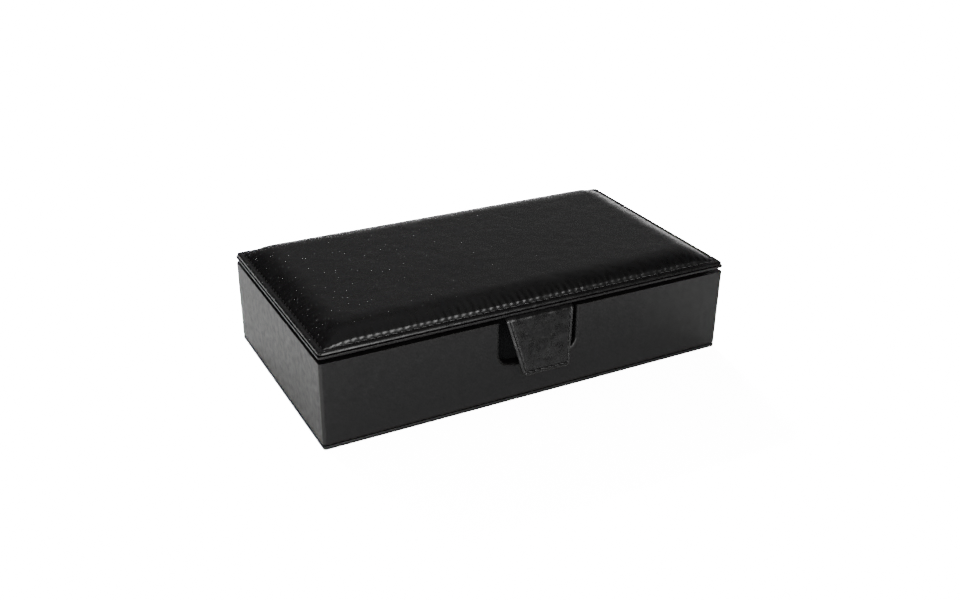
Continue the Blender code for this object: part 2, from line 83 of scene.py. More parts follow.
PANEL_TOP = PANEL_LOW.z + 1.8 * MM      # the panel's flat margin
PANEL_CORNER = 3 * MM
PANEL_SKIN = 0.9 * MM                   # thickness of the leather turned down round the board
CROWN = (PANEL_HIGH.z - PANEL_TOP) * 0.985    # leaves room for the puckers below the CAD's top
CROWN_SHOULDER = 21.5 * MM
PANEL_ROLL = 1.1 * MM                   # radius of the panel's turned side edges
LEAN_WIDTH = 1.3 * MM                   # its front and back edges lean inwards
LEAN_HEIGHT = 1.5 * MM
UNDER_ROLL = 0.4 * MM                   # radius of its lower edge
GRID_STEP = 0.8 * MM                    # spacing of its grid away from the edges
STITCH_INSET = 4.1 * MM                 # from the panel's edge to the lid's stitching
STITCH_PITCH = 4.85 * MM
STITCH_LENGTH = 4.0 * MM
STITCH_SLANT = 0.42 * MM
STITCH_ARCH = 0.32 * MM
THREAD_RADIUS = 0.36 * MM

# Depths of the relief that the seam pulls into the padding, and how far in each one fades.
HOLE_DEPTH, HOLE_REACH = 0.18 * MM, 1.1 * MM
FAN_DEPTH, FAN_REACH = 0.14 * MM, 4.6 * MM
GATHER_DEPTH, GATHER_REACH = 0.30 * MM, 6 * MM
SWELL_DEPTH, SWELL_REACH = 0.22 * MM, 16 * MM
BACK_SHARE = 0.4                        # of the front's gathers
SIDE_SHARE = 0.55
LID_GROOVE_DEPTH, LID_GROOVE_WIDTH = 0.5 * MM, 0.6 * MM

TAB_LEAN = math.radians(16.5)
TAB_LENGTH = 40 * MM
TAB_TOP_HALF = 25.4 * MM
TAB_BOTTOM_HALF = 17.25 * MM
TAB_THICKNESS = 3.4 * MM
STRAP_THICKNESS = 1.4 * MM
TAB_CORNER = 2.3 * MM
TAB_FOLD_RADIUS = 3.6 * MM
TAB_GRID_STEP = 0.5 * MM
TAB_STITCH_INSET = 2.2 * MM
TAB_STITCH_PITCH = 4.4 * MM
TAB_STITCH_GAP = 0.8 * MM
TAB_STITCH_ARCH = 0.3 * MM
TAB_GROOVE_DEPTH, TAB_GROOVE_WIDTH = 0.55 * MM, 0.5 * MM
TAB_PAD = 0.40 * MM                     # how far its middle swells past the stitches

SLACK = 0.05 * MM                       # tolerance when edges are picked by their place
WELD = 0.002 * MM                       # points nearer than this are one point
SLAB_SEGMENTS = 6
STITCH_RINGS, STITCH_SIDES = 9, 8


# ---------------------------------------------------------------- node materials
class Shader:
    """A Principled material, and short calls that add the nodes in front of it."""

    def __init__(self, name):
        self.material = bpy.data.materials.new(name)
        self.material.use_nodes = True
        self.tree = self.material.node_tree
        self.principled = self.tree.nodes["Principled BSDF"]
        self.coordinates = self.tree.nodes.new("ShaderNodeTexCoord").outputs["Object"]

    def set(self, **values):
        for socket, value in values.items():
            self.principled.inputs[socket.replace("_", " ")].default_value = value

    def link(self, source, target):
        self.tree.links.new(source, target)

    def stretched(self, scale):
        """Object coordinates stretched by a scale for each axis."""
        mapping = self.tree.nodes.new("ShaderNodeMapping")
        mapping.inputs["Scale"].default_value = scale
        self.link(self.coordinates, mapping.inputs["Vector"])
        return mapping.outputs["Vector"]

    def noise(self, scale, detail=3.0, vector=None, distortion=0.0):
        made = self.tree.nodes.new("ShaderNodeTexNoise")
        made.inputs["Scale"].default_value = scale
        made.inputs["Detail"].default_value = detail
        made.inputs["Distortion"].default_value = distortion
        self.link(vector or self.coordinates, made.inputs["Vector"])
        return made.outputs["Fac"]

    def cells(self, scale):
        """Distance to the nearest cell border, the pattern of leather grain."""
        made = self.tree.nodes.new("ShaderNodeTexVoronoi")
        made.feature = "DISTANCE_TO_EDGE"
        made.inputs["Scale"].default_value = scale
        self.link(self.coordinates, made.inputs["Vector"])
        return made.outputs["Distance"]

    def ramp(self, source, low, high, start=0.0, end=1.0):
        """Map a value from low..high to start..end."""
        made = self.tree.nodes.new("ShaderNodeMapRange")
        made.inputs["From Min"].default_value = low
        made.inputs["From Max"].default_value = high
        made.inputs["To Min"].default_value = start
        made.inputs["To Max"].default_value = end
        self.link(source, made.inputs["Value"])
        return made.outputs["Result"]

    def mix_colours(self, factor, first, second):
        made = self.tree.nodes.new("ShaderNodeMix")
        made.data_type = "RGBA"
        made.inputs["A"].default_value = (*first, 1.0)
        made.inputs["B"].default_value = (*second, 1.0)
        self.link(factor, made.inputs["Factor"])
        return made.outputs["Result"]

    def bump(self, height, distance, below=None):
        """Bump of a distance in metres, on top of the one below it."""
        made = self.tree.nodes.new("ShaderNodeBump")
        made.inputs["Strength"].default_value = 1.0
        made.inputs["Distance"].default_value = distance
        self.link(height, made.inputs["Height"])
        if below is not None:
            self.link(below, made.inputs["Normal"])
        return made.outputs["Normal"]

    def drive(self, socket, source):
        self.link(source, self.principled.inputs[socket])


def leather(name, roughness=0.40, grain=0.04, creases=0.10, crease_stretch=(1, 1, 1)):
    """Smooth black leather: fine pebble grain, faint creases and patchy gloss."""
    made = Shader(name)
    made.set(Specular_IOR_Level=0.5)
    patches = made.noise(60, 3)
    made.drive("Base Color", made.mix_colours(patches, (0.0018, 0.0018, 0.0020),
                                              (0.0036, 0.0034, 0.0034)))
    made.drive("Roughness", made.ramp(made.noise(240, 3), 0.3, 0.7,
                                      roughness - 0.05, roughness + 0.06))
    pebbles = made.ramp(made.cells(1150), 0.0, 0.35)
    folds = made.noise(85, 1.2, made.stretched(crease_stretch), 0.4)
    low = made.bump(folds, creases * MM * 4)
    mottle = made.bump(made.noise(520, 2), grain * MM, below=low)
    made.drive("Normal", made.bump(pebbles, grain * MM * 0.3, below=mottle))
    return made.material


def suede(name):
    """Matt black suede with a fine pile and a soft nap."""
    made = Shader(name)
    made.set(Roughness=0.95, Specular_IOR_Level=0.1, Sheen_Weight=0.05, Sheen_Roughness=0.45)
    pile = made.noise(2600, 2)
    nap = made.noise(85, 4)
    made.drive("Base Color", made.mix_colours(nap, (0.0025, 0.0025, 0.0028),
                                              (0.006, 0.006, 0.0065)))
    made.drive("Normal", made.bump(pile, 0.12 * MM, below=made.bump(nap, 0.2 * MM)))
    return made.material


def metal(name, colour, roughness):
    """Metal with fine brushing and a slightly uneven polish."""
    made = Shader(name)
    made.set(Metallic=1.0)
    strokes = made.noise(900, 2, made.stretched((1, 40, 40)))
    made.drive("Base Color", made.mix_colours(made.noise(200, 2), colour,
                                              tuple(0.8 * part for part in colour)))
    made.drive("Roughness", made.ramp(strokes, 0.3, 0.7, roughness - 0.06, roughness + 0.08))
    made.drive("Normal", made.bump(strokes, 0.01 * MM))
    return made.material


def thread(name):
    """Waxed black thread, twisted."""
    made = Shader(name)
    made.set(Roughness=0.36, Specular_IOR_Level=0.55)
    fibres = made.noise(5200, 2, made.stretched((1, 1, 3)))
    made.drive("Base Color", made.mix_colours(fibres, (0.004, 0.004, 0.004),
                                              (0.012, 0.012, 0.012)))
    made.drive("Normal", made.bump(fibres, 0.08 * MM))
    return made.material


WALL_LEATHER = leather("wall_leather", roughness=0.40, crease_stretch=(1, 1, 0.4))
PANEL_LEATHER = leather("panel_leather", roughness=0.29, grain=0.012, creases=0.08)
TAB_LEATHER = leather("tab_leather", roughness=0.29, grain=0.04, creases=0.12)
SUEDE = suede("black_suede")
BRASS = metal("hinge_brass", (0.72, 0.52, 0.22), 0.26)
STEEL = metal("steel", (0.55, 0.54, 0.52), 0.30)
THREAD = thread("black_thread")


# ---------------------------------------------------------------- mesh helpers
def add_piece(name, mesh, look, body, replaces=()):
    """Link a finished mesh as a piece that rides on a CAD body."""
    piece = bpy.data.objects.new(name, mesh)
    bpy.context.scene.collection.objects.link(piece)
    mesh.materials.clear()
    mesh.materials.append(look)
    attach(piece, body)
    if replaces:
        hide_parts(*replaces)
    return piece


def mesh_from(name, points, faces, sharp_angle=40):
    """A smooth mesh, sharp where faces meet at more than sharp_angle degrees."""
    mesh = bpy.data.meshes.new(name)
    mesh.from_pydata([tuple(point) for point in points], [], faces)
    mesh.update()
    tidy = bmesh.new()
    tidy.from_mesh(mesh)
    bmesh.ops.recalc_face_normals(tidy, faces=tidy.faces[:])
    tidy.to_mesh(mesh)
    tidy.free()
    mesh.shade_smooth()
    mesh.set_sharp_from_angle(angle=math.radians(sharp_angle))
    return mesh


def grid_faces(rows, columns, start=0, flip=False):
    """Quads of a rows by columns grid of points, numbered row by row."""
    faces = []
    for row in range(rows - 1):
        for column in range(columns - 1):
            first = start + row * columns + column
            quad = (first, first + 1, first + columns + 1, first + columns)
            faces.append(quad[::-1] if flip else quad)
    return faces


def spaced(length, step, fine):
    """Stations from 0 to length: fine ones near both ends and even ones between."""
    near = np.asarray(fine)
    inner = length - 2 * near[-1]
    count = max(int(round(inner / step)), 1)
    even = near[-1] + np.linspace(0, inner, count + 1)[1:-1]
    return np.concatenate([near, even, (length - near)[::-1]])


def slab_mesh(low, high, radius):
    """A box in a bmesh, with its vertical edges rounded."""
    low, high = Vector(low), Vector(high)
    made = bmesh.new()
    bmesh.ops.create_cube(made, size=1.0)
    bmesh.ops.scale(made, vec=high - low, verts=made.verts[:])
    bmesh.ops.translate(made, vec=(low + high) / 2, verts=made.verts[:])
    corners = [edge for edge in made.edges if upright(edge)]
    if radius > 0:
        bmesh.ops.bevel(made, geom=corners, offset=radius, segments=SLAB_SEGMENTS,
                        profile=0.5, affect="EDGES")
    return made


def round_edges(made, pick, offset, segments):
    """Bevel the edges of a bmesh that pick chooses."""
    edges = [edge for edge in made.edges if len(edge.link_faces) == 2
             and edge.calc_face_angle() > math.radians(30) and pick(edge)]
    bmesh.ops.bevel(made, geom=edges, offset=offset, segments=segments, profile=0.5,
                    affect="EDGES", clamp_overlap=True)


def to_mesh(name, made):
    """Turn a bmesh into a smooth mesh and free it."""
    mesh = bpy.data.meshes.new(name)
    bmesh.ops.recalc_face_normals(made, faces=made.faces[:])
    made.to_mesh(mesh)
    made.free()
    mesh.shade_smooth()
    mesh.set_sharp_from_angle(angle=math.radians(50))
    return mesh


def weighted(piece):
    """Shade the flat faces flat and let the rolled edges carry the curve."""
    step = piece.modifiers.new("weighted", "WEIGHTED_NORMAL")
    step.keep_sharp = True


def subtract(name, solid, *cutters):
    """The bmesh solid less the cutter bmeshes, as a new bmesh."""
    target = bpy.data.objects.new(name, bpy.data.meshes.new(name))
    solid.to_mesh(target.data)
    solid.free()
    bpy.context.scene.collection.objects.link(target)
    tools = []
    for number, cutter in enumerate(cutters):
        tool = bpy.data.objects.new(name + "_tool", bpy.data.meshes.new(name + "_tool"))
        bmesh.ops.recalc_face_normals(cutter, faces=cutter.faces[:])
        cutter.to_mesh(tool.data)
        cutter.free()
        bpy.context.scene.collection.objects.link(tool)
        step = target.modifiers.new("cut_%d" % number, "BOOLEAN")
        step.operation = "DIFFERENCE"
        step.solver = "EXACT"
        step.object = tool
        tools.append(tool)
    bpy.context.view_layer.update()
    evaluated = target.evaluated_get(bpy.context.evaluated_depsgraph_get())
    result = bmesh.new()
    result.from_mesh(evaluated.to_mesh())
    for old in [target, *tools]:
        bpy.data.objects.remove(old, do_unlink=True)
    bmesh.ops.remove_doubles(result, verts=result.verts[:], dist=0.001 * MM)
    bmesh.ops.dissolve_limit(result, angle_limit=math.radians(0.5), verts=result.verts[:],
                             edges=result.edges[:])
    return result


def level(edge, height):
    """True where an edge lies flat at a height."""
    return all(abs(point.co.z - height) < SLACK for point in edge.verts)


def upright(edge):
    """True where an edge's ends differ in height."""
    return abs(edge.verts[0].co.z - edge.verts[1].co.z) > SLACK


def outside(edge):
    """True where an edge lies on the walls' outer outline."""
    middle = (edge.verts[0].co + edge.verts[1].co) / 2
    return (abs(middle.x) > HALF_WIDTH - CORNER_RADIUS / 2 - SLACK
            or abs(middle.y) > HALF_DEPTH - CORNER_RADIUS / 2 - SLACK)


# ---------------------------------------------------------------- walls, base and lid board
def notch_outline(spread):
    """Half of the notch's U, from its top down to the middle, widened by spread."""
    radius = NOTCH_RADIUS + spread
    bottom = NOTCH_BOTTOM - spread
    side = NOTCH_HALF + spread
    return ([(side, WALL_HIGH.z + 5 * MM)]
            + [(side - radius * (1 - math.cos(turn)), bottom + radius * (1 - math.sin(turn)))
               for turn in np.linspace(0, math.pi / 2, 12)])


def notch_cutter():
    """A solid the shape of the finger notch, flared where the leather rolls into it."""
    front = -HALF_DEPTH
    rings = [(front - MM, NOTCH_ROLL)]
    rings += [(front + NOTCH_ROLL * (1 - math.cos(turn)), NOTCH_ROLL * (1 - math.sin(turn)))
              for turn in np.linspace(0, math.pi / 2, 9)]
    rings.append((front + WALL_THICKNESS + MM, 0.0))
    cutter = bmesh.new()
    previous = None
    for depth, spread in rings:
        half = notch_outline(spread)
        outline = half + [(-x, z) for x, z in reversed(half)]
        ring = [cutter.verts.new((x, depth, z)) for x, z in outline]
        if previous is None:
            cutter.faces.new(ring)
        else:
            for index, corner in enumerate(ring):
                cutter.faces.new((previous[index - 1], previous[index], corner, ring[index - 1]))
        previous = ring
    cutter.faces.new(previous[::-1])
    return cutter


def make_walls():
    """The leather-covered walls as one ring, with the finger notch cut into the front."""
    ring = slab_mesh(WALL_LOW, WALL_HIGH, CORNER_RADIUS)
    hollow = slab_mesh((-HALF_WIDTH + WALL_THICKNESS, -HALF_DEPTH + WALL_THICKNESS, -MM),
                       (HALF_WIDTH - WALL_THICKNESS, HALF_DEPTH - WALL_THICKNESS,
                        WALL_HIGH.z + MM), 0)
    walls = subtract("walls", ring, hollow, notch_cutter())

    def on_rim(edge):
        return outside(edge) and (level(edge, WALL_HIGH.z) or level(edge, WALL_LOW.z))

    round_edges(walls, on_rim, RIM_ROLL, 5)
    weighted(add_piece("wall_cover", to_mesh("wall_cover", walls), WALL_LEATHER, "case",
                       ("body_leather", "notch_binding", "front_wall_board",
                                        "back_wall_board", "left_wall_board",
                                        "right_wall_board")))


def make_base():
    """The leather-covered base board, its edges turned."""
    board = slab_mesh(BASE_LOW, (BASE_HIGH.x, BASE_HIGH.y, BASE_HIGH.z - SEAM_DEPTH),
                      CORNER_RADIUS)
    round_edges(board, lambda edge: not upright(edge), BASE_ROLL, 4)
    weighted(add_piece("base_cover", to_mesh("base_cover", board), WALL_LEATHER, "case",
                       ("base_leather", "base_board")))


def make_lid_board():
    """The leather-covered lid board, its edges turned."""
    board = slab_mesh(LID_LOW, (LID_HIGH.x, LID_HIGH.y, LID_HIGH.z - SEAM_DEPTH), CORNER_RADIUS)
    round_edges(board, lambda edge: not upright(edge), LID_ROLL, 4)
    weighted(add_piece("lid_board_cover", to_mesh("lid_board_cover", board), WALL_LEATHER, "lid",
                       ("lid_board_leather", "lid_board")))


# ---------------------------------------------------------------- padded lid cover
def outline_indices(rows, columns):
    """Indices of a point grid's outline, in order round it."""
    return ([column for column in range(columns)]
            + [row * columns + columns - 1 for row in range(1, rows)]
            + [(rows - 1) * columns + column for column in range(columns - 2, -1, -1)]
            + [row * columns for row in range(rows - 2, 0, -1)])


def square_to_round(x, y, half_x, half_y, radius):
    """Move grid points in the corner squares of a rectangle onto rounded corners."""
    over_x = np.maximum(np.abs(x) - (half_x - radius), 0)
    over_y = np.maximum(np.abs(y) - (half_y - radius), 0)
    reach = np.hypot(over_x, over_y)
    scale = np.where(reach > 1e-9, np.maximum(over_x, over_y) / np.maximum(reach, 1e-9), 1)
    new_x = np.sign(x) * (np.minimum(np.abs(x), half_x - radius) + over_x * scale)
    new_y = np.sign(y) * (np.minimum(np.abs(y), half_y - radius) + over_y * scale)
    return new_x, new_y


def rolled(distance, radius):
    """Drop of a rolled edge below its flat, at a distance in from the edge."""
    inside = np.clip(distance / radius, 0, 1)
    return radius * (1 - np.sqrt(np.clip(1 - (1 - inside) ** 2, 0, 1)))


def smooth_noise(x, y, scale_x, scale_y, seed):
    """Gradient noise from -1 to 1 over the plane, one value for each point."""
    values = [noise.noise(Vector((a * scale_x, b * scale_y, seed)))
              for a, b in zip(x.ravel(), y.ravel())]
    return np.array(values).reshape(x.shape)


def shoulder(reach):
    """Rise of the padding from 0 at the stitching to 1 on the flat top."""
    along = np.clip(reach / CROWN_SHOULDER, 0, 1)
    return np.sqrt(1 - (1 - along) ** 2)


def eased(reach):
    """A gentler rise than shoulder's, for the panel's two short sides."""
    return 1 - (1 - np.clip(reach / CROWN_SHOULDER, 0, 1)) ** 2.2


def gathered(along, into, seed):
    """Relief that a row of stitches pulls into padded leather, in metres.

    along is the distance along the seam, into the distance from it into the padding.
    """
    depth = np.clip(into, 0, None)
    drift = smooth_noise(along, depth, 1 / (16 * MM), 1 / (9 * MM), seed + 4)
    holes = np.cos(2 * math.pi * along / STITCH_PITCH) * np.exp(-depth / HOLE_REACH)
    fans = (np.cos(2 * math.pi * (along / STITCH_PITCH + 0.35 * drift))
            * np.exp(-depth / FAN_REACH))
    gathers = smooth_noise(along, depth, 1 / (7 * MM), 1 / (24 * MM), seed)
    swells = smooth_noise(along, depth, 1 / (26 * MM), 1 / (40 * MM), seed + 9)
    uneven = 1 + 0.9 * smooth_noise(along, depth, 1 / (19 * MM), 1 / (30 * MM), seed + 6)
    return (-HOLE_DEPTH * holes - FAN_DEPTH * fans * uneven
            + GATHER_DEPTH * gathers * np.exp(-depth / GATHER_REACH)
            + SWELL_DEPTH * swells * np.exp(-depth / SWELL_REACH))


def cover_height(x, y, half_x, half_y):
    """Height of the padded cover over its footprint, worked out before the corners round."""
    from_x = half_x - np.abs(x)
    from_y = half_y - np.abs(y)
    edge = np.minimum(from_x, from_y)
    into = edge - STITCH_INSET
    crown = CROWN * eased(from_x - STITCH_INSET) * shoulder(from_y - STITCH_INSET)
    groove = LID_GROOVE_DEPTH * np.exp(-(into / LID_GROOVE_WIDTH) ** 2)
    along_side = np.where(from_y <= from_x, x, y)
    margin_dents = (0.09 * MM * np.cos(2 * math.pi * along_side / STITCH_PITCH)
                    * np.exp(np.minimum(into, 0) / (1.2 * MM)) * (into < 0))
    by_front = gathered(x, from_y - STITCH_INSET, 3.1) * np.where(y < 0, 1.0, BACK_SHARE)
    by_side = gathered(y, from_x - STITCH_INSET, 7.7) * SIDE_SHARE
    share = np.clip((from_x - from_y) / (4 * MM) + 0.5, 0, 1)
    seams = np.clip(into / (0.5 * MM), 0, 1) * (by_front * share + by_side * (1 - share))
    flat = np.clip(into / (20 * MM), 0, 1)
    waves = flat * (0.10 * MM * smooth_noise(x, y, 1 / (60 * MM), 1 / (34 * MM), 1.3)
                    + 0.035 * MM * smooth_noise(x, y, 1 / (14 * MM), 1 / (11 * MM), 5.9))
    margin = (0.04 * MM * smooth_noise(x, y, 1 / (6 * MM), 1 / (6 * MM), 2.2)
              * np.clip(edge / MM, 0, 1))
    leaning = LEAN_HEIGHT * np.clip(1 - from_y / LEAN_WIDTH, 0, 1) ** 1.5
    turned = np.where(from_y <= from_x, leaning, rolled(edge, PANEL_ROLL))
    return PANEL_TOP - turned + crown - groove - margin_dents + seams + waves + margin


def make_padded_cover():
    """The padded, stitched panel: leather over foam, turned down round its board."""
    half_x, half_y = PANEL_HIGH.x, PANEL_HIGH.y
    fine = np.array([0, 0.1, 0.25, 0.45, 0.75, 1.2, 1.8, 2.4, 2.9, 3.3, 3.6, 3.85, 4.1, 4.2, 4.35,
                     4.55, 4.8, 5.1, 5.5, 6.0, 6.6, 7.3, 8.1]) * MM
    xs = spaced(2 * half_x, GRID_STEP, fine) - half_x
    ys = spaced(2 * half_y, GRID_STEP, fine) - half_y
    x, y = np.meshgrid(xs, ys)
    z = cover_height(x, y, half_x, half_y)
    round_x, round_y = square_to_round(x, y, half_x, half_y, PANEL_CORNER)
    top = np.stack([round_x, round_y, z], -1).reshape(-1, 3)
    rows, columns = x.shape
    faces = grid_faces(rows, columns)

    rim = outline_indices(rows, columns)
    outline = top[rim]
    points = [top]
    count = len(rim)
    previous = list(rim)
    inner_top = PANEL_BOARD_TOP + 0.1 * MM
    bottom = PANEL_LOW.z - 0.15 * MM
    under = [(UNDER_ROLL * (1 - math.cos(turn)), bottom + UNDER_ROLL * (1 - math.sin(turn)))
             for turn in np.linspace(0, math.pi / 2, 5)]
    for inset, height in (*under, (PANEL_SKIN, bottom), (PANEL_SKIN, inner_top)):
        ring = outline.copy()
        ring[:, 0] *= (half_x - inset) / half_x
        ring[:, 1] *= (half_y - inset) / half_y
        ring[:, 2] = height
        start = sum(len(block) for block in points)
        points.append(ring)
        current = list(range(start, start + count))
        for index in range(count):
            after = (index + 1) % count
            faces.append((previous[index], current[index], current[after], previous[after]))
        previous = current
    faces.append(tuple(previous))
    mesh = mesh_from("padded_cover", np.concatenate(points), faces, 60)
    cover = add_piece("padded_cover", mesh, PANEL_LEATHER, "lid",
                      ("panel_leather", "panel_foam", "panel_board"))
    return half_x, half_y


# ---------------------------------------------------------------- stitches
def stitch_tube(start, end, up, arch, faces, points):
    """One stitch: a tube that arches from a hole to the next, its ends sunk in the leather."""
    start, end, up = Vector(start), Vector(end), Vector(up).normalized()
    along = (end - start).normalized()
    across = along.cross(up).normalized()
    rings, sides = STITCH_RINGS, STITCH_SIDES
    first = len(points)
    for step in range(rings):
        part = step / (rings - 1)
        bow = math.sin(math.pi * part) ** 0.6
        centre = start.lerp(end, part) + up * arch * (bow - 0.9)
        slim = THREAD_RADIUS * (0.62 + 0.38 * bow)
        for side in range(sides):
            turn = 2 * math.pi * side / sides
            offset = across * math.cos(turn) * slim * 1.15 + up * math.sin(turn) * slim
            points.append(centre + offset)
    for step in range(rings - 1):
        for side in range(sides):
            a = first + step * sides + side
            b = first + step * sides + (side + 1) % sides
            faces.append((a, b, b + sides, a + sides))
    faces.append(tuple(first + side for side in range(sides)))
    last = first + (rings - 1) * sides
    faces.append(tuple(last + side for side in reversed(range(sides))))


def make_lid_stitches(half_x, half_y):
    """A row of slanted stitches along each side of the padded panel."""
    points, faces = [], []
    x_line = half_x - STITCH_INSET
    y_line = half_y - STITCH_INSET
    height = PANEL_TOP + 0.02 * MM
    for side, reach in (((0, -1), x_line), ((0, 1), x_line), ((1, 0), y_line), ((-1, 0), y_line)):
        normal = Vector((side[0], side[1], 0))
        run = Vector((-side[1], side[0], 0))
        line = y_line if side[0] == 0 else x_line
        count = int(2 * reach / STITCH_PITCH)
        for number in range(-count // 2, count // 2 + 1):
            middle = (number + 0.5) * STITCH_PITCH
            if abs(middle) > reach - STITCH_LENGTH / 2:
                continue
            jitter = 0.08 * MM * noise.noise(Vector((number * 1.7, side[0] * 9, side[1] * 5)))
            centre = normal * (line + jitter) + run * middle + Vector((0, 0, height))
            half = run * STITCH_LENGTH / 2 + normal * STITCH_SLANT
            stitch_tube(centre - half, centre + half, (0, 0, 1), STITCH_ARCH, faces, points)
    mesh = mesh_from("lid_stitches", points, faces)
    add_piece("lid_stitches", mesh, THREAD, "lid")


# ---------------------------------------------------------------- pull tab
class TabPath:
    """The tab's middle surface: a flat strap in the gap, a fold, then a leaning plate."""

    def __init__(self):
        self.fold = Vector(TAB_JOINT["pos_m"])
        self.down = Vector((0, -math.sin(TAB_LEAN), -math.cos(TAB_LEAN)))
        self.strap_height = STRAP_HIGH.z - STRAP_THICKNESS / 2
        self.turn = math.pi / 2 - TAB_LEAN
        self.radius = TAB_FOLD_RADIUS
        tangent = self.radius * math.tan(self.turn / 2)
        corner = self.fold + self.down * ((self.strap_height - self.fold.z) / self.down.z)
        self.arc_start = corner + Vector((0, tangent, 0))
        self.strap = STRAP_HIGH.y - self.arc_start.y
        self.arc = self.radius * self.turn
        self.plate = TAB_LENGTH - (corner - self.fold).length - tangent
        self.length = self.strap + self.arc + self.plate

    def at(self, travel):
        """Point, direction and outward normal at a distance from the strap's end."""
        if travel <= self.strap:
            place = Vector((0, STRAP_HIGH.y - travel, self.strap_height))
            return place, Vector((0, -1, 0)), Vector((0, 0, 1))
        if travel <= self.strap + self.arc:
            angle = (travel - self.strap) / self.radius
        else:
            angle = self.turn
        forward = Vector((0, -math.cos(angle), -math.sin(angle)))
        outward = Vector((0, -math.sin(angle), math.cos(angle)))
        centre = self.arc_start - Vector((0, 0, self.radius))
        place = centre + outward * self.radius
        if travel > self.strap + self.arc:
            place = place + forward * (travel - self.strap - self.arc)
        return place, forward, outward


def tab_half_width(path, travel):
    """Half of the tapering tab's width at a distance from the strap's end."""
    below_fold = travel - (path.length - TAB_LENGTH)
    part = min(max(below_fold / TAB_LENGTH, 0), 1)
    return TAB_TOP_HALF + (TAB_BOTTOM_HALF - TAB_TOP_HALF) * part


def make_tab():
    """The tapered pull tab: rolled edges, a stitched groove and lightly pebbled leather."""
    path = TabPath()
    fine = np.array([0, 0.1, 0.25, 0.5, 0.8, 1.15, 1.5, 1.8, 2.0, 2.2, 2.4, 2.6, 2.9, 3.3, 3.9,
                     4.6]) * MM
    across_top = spaced(2 * TAB_TOP_HALF, TAB_GRID_STEP, fine) / TAB_TOP_HALF - 1
    travels = spaced(path.length, TAB_GRID_STEP, fine)
    fronts, backs = [], []
    for travel in travels:
        half = tab_half_width(path, travel)
        place, forward, outward = path.at(travel)
        from_end = path.length - travel
        free = min(max((travel - path.strap) / (4 * MM), 0), 1)
        thick = STRAP_THICKNESS + (TAB_THICKNESS - STRAP_THICKNESS) * free
        for share in across_top:
            across = share * half
            from_side = half - abs(across)
            edge = min(from_side, from_end)
            over_x = max(TAB_CORNER - from_side, 0)
            over_s = max(TAB_CORNER - from_end, 0)
            reach = math.hypot(over_x, over_s)
            pull = max(over_x, over_s) / reach if reach > 1e-9 else 1.0
            x = math.copysign(min(abs(across), half - TAB_CORNER) + over_x * pull, across)
            slide = over_s * pull - over_s
            end_drop = float(rolled(np.float64(from_end), 0.36 * thick))
            side_drop = 0.34 * thick * max(1 - from_side / (1.9 * MM), 0) ** 1.2
            drop = max(end_drop, side_drop)
            past_seam = edge - TAB_STITCH_INSET
            groove = TAB_GROOVE_DEPTH * math.exp(-(past_seam / TAB_GROOVE_WIDTH) ** 2)
            pad = TAB_PAD * (1 - math.exp(-max(past_seam, 0) / (3 * MM)))
            inner = min(max((edge - 2.6 * MM) / (3 * MM), 0), 1)
            pebble = noise.noise(Vector((x * 620, travel * 620, 3.0)))
            wave = noise.noise(Vector((x * 120, travel * 150, 8.0)))
            relief = free * (pad - groove + inner * (0.025 * MM * pebble + 0.22 * MM * wave))
            centre = place + forward * slide + Vector((x, 0, 0))
            fronts.append(centre + outward * (thick / 2 - drop + relief))
            backs.append(centre - outward * (thick / 2 - drop))
    rows, columns = len(travels), len(across_top)
    points = fronts + backs
    faces = grid_faces(rows, columns) + grid_faces(rows, columns, rows * columns, flip=True)
    rim = outline_indices(rows, columns)
    for here, after in zip(rim, rim[1:] + rim[:1]):
        faces.append((here, here + rows * columns, after + rows * columns, after))
    mesh = mesh_from("pull_tab", points, faces, 70)
    tidy = bmesh.new()
    tidy.from_mesh(mesh)
    bmesh.ops.remove_doubles(tidy, verts=tidy.verts[:], dist=WELD)
    bmesh.ops.recalc_face_normals(tidy, faces=tidy.faces[:])
    tidy.to_mesh(mesh)
    tidy.free()
    tab = bpy.data.objects.new("pull_tab", mesh)
    bpy.context.scene.collection.objects.link(tab)
    mesh.materials.append(TAB_LEATHER)
    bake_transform(tab)
    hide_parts("tab_front_leather", "tab_back_leather", "tab_stiffener", "tab_strap_end")
    make_tab_stitches(path)


def make_tab_stitches(path):
    """Stitches down both sides of the tab and along its lower edge."""
    points, faces = [], []
    surface = TAB_THICKNESS / 2 + 0.12 * MM

    def spot(across, travel):
        place, _forward, outward = path.at(travel)
        return place + outward * surface + Vector((across, 0, 0)), outward

    end = path.length - TAB_STITCH_INSET
    first = path.strap + path.arc + 1.0 * MM
    count = int((end - first) / TAB_STITCH_PITCH)
    for side in (-1, 1):
        for number in range(count):
            top = end - TAB_STITCH_GAP / 2 - (number + 1) * TAB_STITCH_PITCH
            bottom = top + TAB_STITCH_PITCH - TAB_STITCH_GAP
            ends = []
            for travel in (top, bottom):
                half = tab_half_width(path, travel) - TAB_STITCH_INSET
                ends.append(spot(side * half, travel))
            (start, up), (finish, _up) = ends
            stitch_tube(start, finish, up, TAB_STITCH_ARCH, faces, points)
    half = TAB_BOTTOM_HALF - TAB_STITCH_INSET - TAB_STITCH_GAP / 2
    row = int(2 * half / TAB_STITCH_PITCH)
    step = 2 * half / row
    for number in range(row):
        left = -half + number * step + TAB_STITCH_GAP / 2
        start, up = spot(left, end - 0.12 * MM)
        finish, _up = spot(left + step - TAB_STITCH_GAP, end + 0.12 * MM)
        stitch_tube(start, finish, up, TAB_STITCH_ARCH, faces, points)
    mesh = mesh_from("tab_stitches", points, faces)
    add_piece("tab_stitches", mesh, THREAD, "tab")


